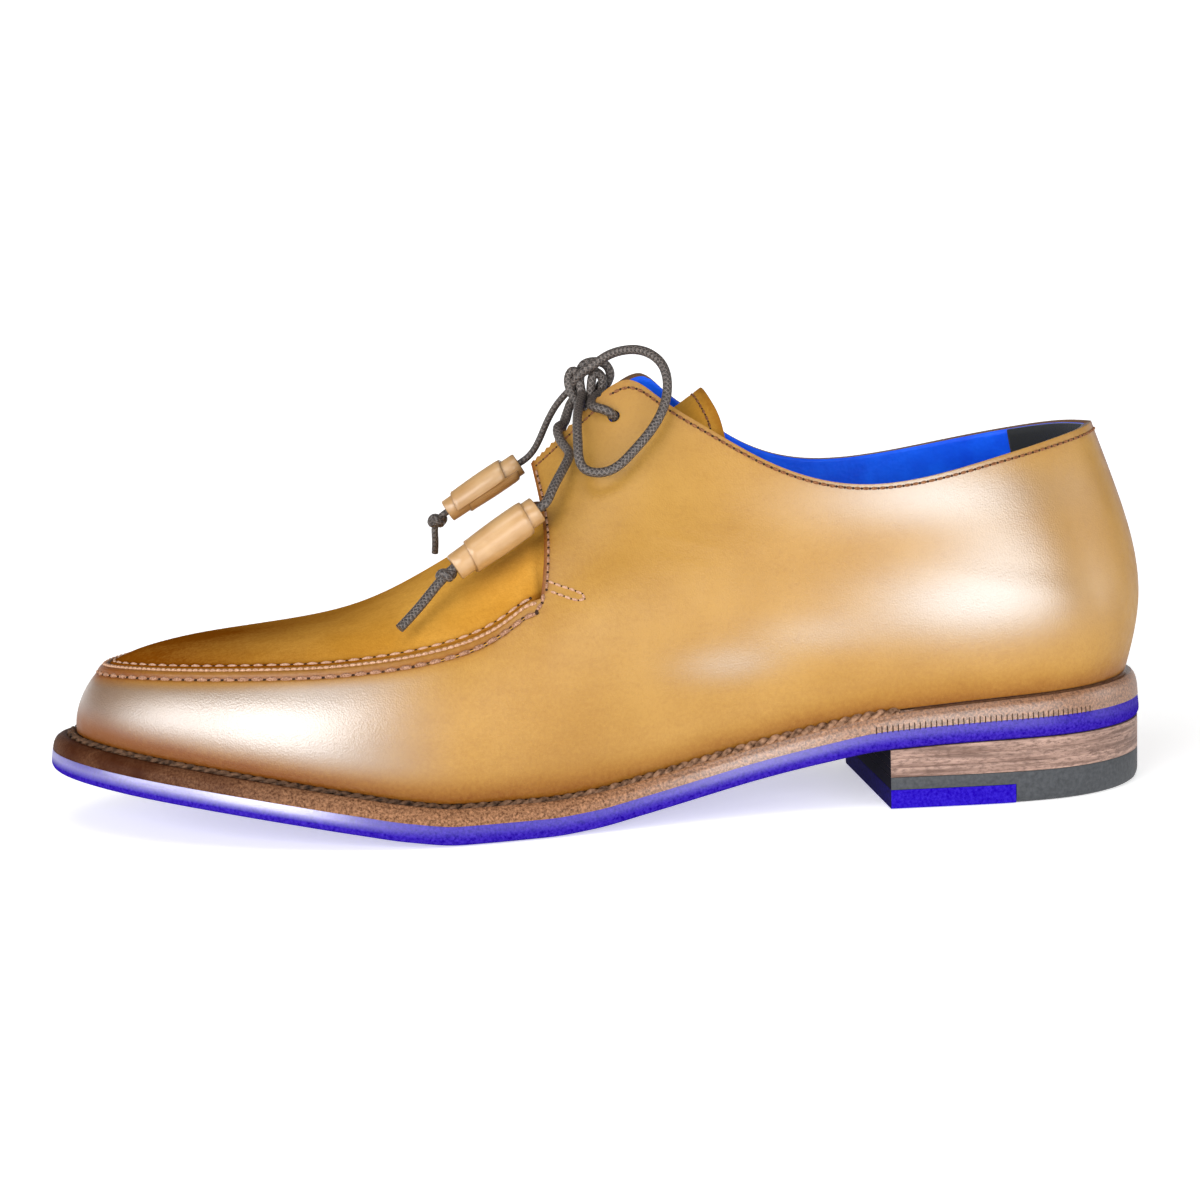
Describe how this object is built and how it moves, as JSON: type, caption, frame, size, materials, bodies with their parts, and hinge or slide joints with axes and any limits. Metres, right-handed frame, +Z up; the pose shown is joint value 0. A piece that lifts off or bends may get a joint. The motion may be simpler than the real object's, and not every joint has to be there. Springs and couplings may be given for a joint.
{
  "type": "lace-up shoe",
  "caption": "Left lace-up dress shoe: apron-front derby in tan leather on a welted sole with a blue edge, stacked heel and a tied cord lace with rolled leather beads.",
  "frame": {"origin": "on the floor under the middle of the sole's length and width", "axes": "toe at -X, lateral (outer) side at -Y, +Z up"},
  "size_m": [0.2968, 0.1016, 0.1228],
  "materials": {
    "calf_leather": "burnished tan calf, semi-gloss",
    "sole_edge_blue": "sole leather with a violet-blue painted edge, satin",
    "welt_leather": "brown burnished welt, satin",
    "insole_leather": "smooth vegetable-tanned leather, matt",
    "stacked_leather": "stacked leather lifts with fine grain lines, matt",
    "heel_rubber": "dark grey rubber, matt",
    "insert_blue": "violet-blue insert, satin",
    "waxed_cord": "round waxed cord, woven, slight sheen",
    "bead_leather": "rolled tan leather, satin"
  },
  "bodies": {
    "root": {"outsole": "sole_edge_blue", "welt": "welt_leather", "insole": "insole_leather", "heel_lift_1": "stacked_leather", "heel_lift_2": "stacked_leather", "heel_lift_3": "stacked_leather", "heel_top_rubber": "heel_rubber", "heel_top_insert": "insert_blue", "upper": "calf_leather", "tongue": "calf_leather", "lace_crossing": "waxed_cord", "lace_knot": "waxed_cord", "lace_loop_near": "waxed_cord", "lace_loop_far": "waxed_cord", "lace_end_near": "waxed_cord", "lace_end_far": "waxed_cord", "lace_tail_near": "waxed_cord", "lace_tail_far": "waxed_cord", "lace_bead_near": "bead_leather", "lace_bead_far": "bead_leather"}
  },
  "joints": []
}
